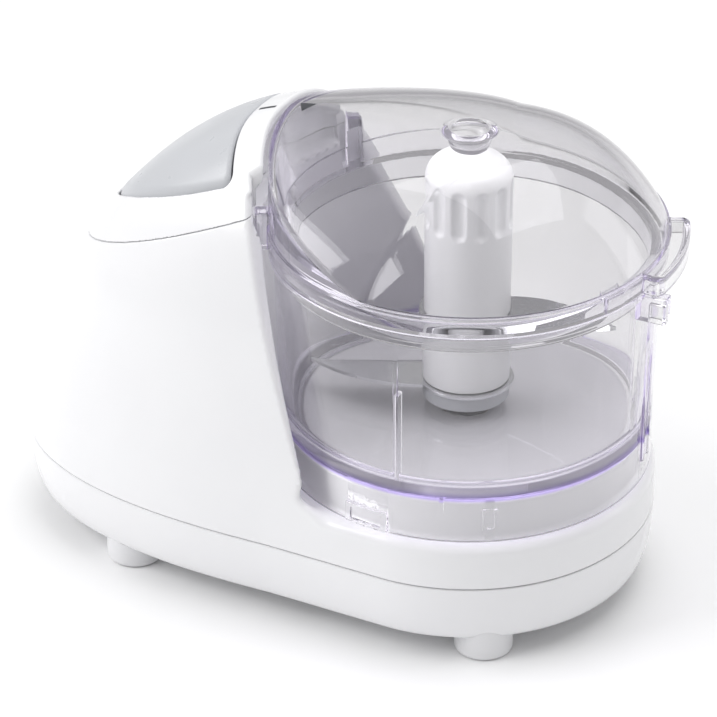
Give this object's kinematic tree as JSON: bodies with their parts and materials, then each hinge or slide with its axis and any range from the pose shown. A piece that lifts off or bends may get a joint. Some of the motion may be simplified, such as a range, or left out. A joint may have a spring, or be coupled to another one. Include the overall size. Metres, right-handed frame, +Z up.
{
  "type": "food processor",
  "caption": "Small electric food chopper with an egg-shaped motor tower, a clear lift-off bowl, a clear domed lid, a press button on top and curved blades on a central hub.",
  "frame": {"origin": "on the surface that the feet stand on, below the centre of the overall box", "axes": "+X from the motor tower towards the bowl and the lid lip, +Z up, -Y the side with the front of the tower in view, and the bowl axis at X = 0.041 m"},
  "size_m": [0.2254, 0.1286, 0.162],
  "materials": {
    "white_gloss": "glossy moulded white",
    "white_satin": "satin white",
    "button_grey": "satin light grey",
    "clear_plastic": "clear, faint violet edges",
    "mark_grey": "dark grey print",
    "foot_rubber": "pale grey rubber",
    "steel": "bright drawn steel",
    "blade_steel": "polished ground steel",
    "motor_steel": "zinc-plated steel",
    "bronze": "sintered bronze",
    "black_plastic": "black moulded plastic",
    "belt_rubber": "black toothed-belt rubber",
    "seal_rubber": "dark grey rubber",
    "grey_plastic": "light grey plastic",
    "board_green": "green laminate"
  },
  "bodies": {
    "base": {"base_tray": "white_gloss", "main_housing": "white_gloss", "top_cover": "white_gloss", "line_mark": "mark_grey", "button_spring_front": "steel", "button_spring_back": "steel", "foot_front_left": "foot_rubber", "foot_back_left": "foot_rubber", "foot_front_right": "foot_rubber", "foot_back_right": "foot_rubber", "base_screw_back_left": "steel", "base_screw_front_left": "steel", "base_screw_back_right": "steel", "base_screw_front_right": "steel", "motor": "motor_steel", "motor_bracket": "motor_steel", "drive_belt": "belt_rubber", "lower_bush": "bronze", "upper_bush": "bronze", "spindle_seal": "seal_rubber", "switch_carrier": "grey_plastic", "power_switch": "black_plastic", "interlock_switch": "black_plastic", "circuit_board": "board_green", "cord_inlet": "grey_plastic"},
    "button": {"power_button": "button_grey"},
    "interlock": {"interlock_pin": "white_satin"},
    "motor_rotor": {"motor_shaft": "steel", "motor_pulley": "black_plastic"},
    "drive": {"driven_pulley": "black_plastic", "drive_spindle": "steel", "drive_dog": "grey_plastic"},
    "bowl": {"bowl": "clear_plastic"},
    "lid": {"lid": "clear_plastic", "arrow_mark": "mark_grey"},
    "blade": {"blade_hub": "white_satin", "blade_spacer": "white_satin", "hub_nut": "grey_plastic", "lower_blade": "blade_steel", "upper_blade": "blade_steel"}
  },
  "joints": [
    {"name": "button_press", "type": "slide", "parent": "base", "child": "button", "axis": [0, 0, -1], "range_m": [0, 0.003], "stiffness_N_per_m": 400, "springref_m": -0.003, "deforming": ["button_spring_front", "button_spring_back"]},
    {"name": "interlock_press", "type": "slide", "parent": "base", "child": "interlock", "axis": [-1, 0, 0], "range_m": [0, 0.002], "stiffness_N_per_m": 200, "springref_m": -0.002},
    {"name": "drive_spin", "type": "hinge", "parent": "base", "child": "drive", "pos_m": [0.0413, 0, 0.02], "axis": [0, 0, 1], "continuous": true},
    {"name": "motor_spin", "type": "hinge", "parent": "base", "child": "motor_rotor", "pos_m": [-0.0557, 0, 0.02], "axis": [0, 0, 1], "continuous": true},
    {"name": "bowl_lift", "type": "slide", "parent": "base", "child": "bowl", "axis": [0, 0, 1], "range_m": [0, 0.125]},
    {"name": "lid_lift", "type": "slide", "parent": "bowl", "child": "lid", "axis": [0, 0, 1], "range_m": [0, 0.06]},
    {"name": "blade_spin", "type": "hinge", "parent": "bowl", "child": "blade", "pos_m": [0.0413, 0, 0.07], "axis": [0, 0, 1], "continuous": true}
  ],
  "couplings": [
    {"joint": "motor_spin", "follows": "drive_spin", "ratio": 4},
    {"joint": "blade_spin", "follows": "drive_spin", "ratio": 1}
  ]
}
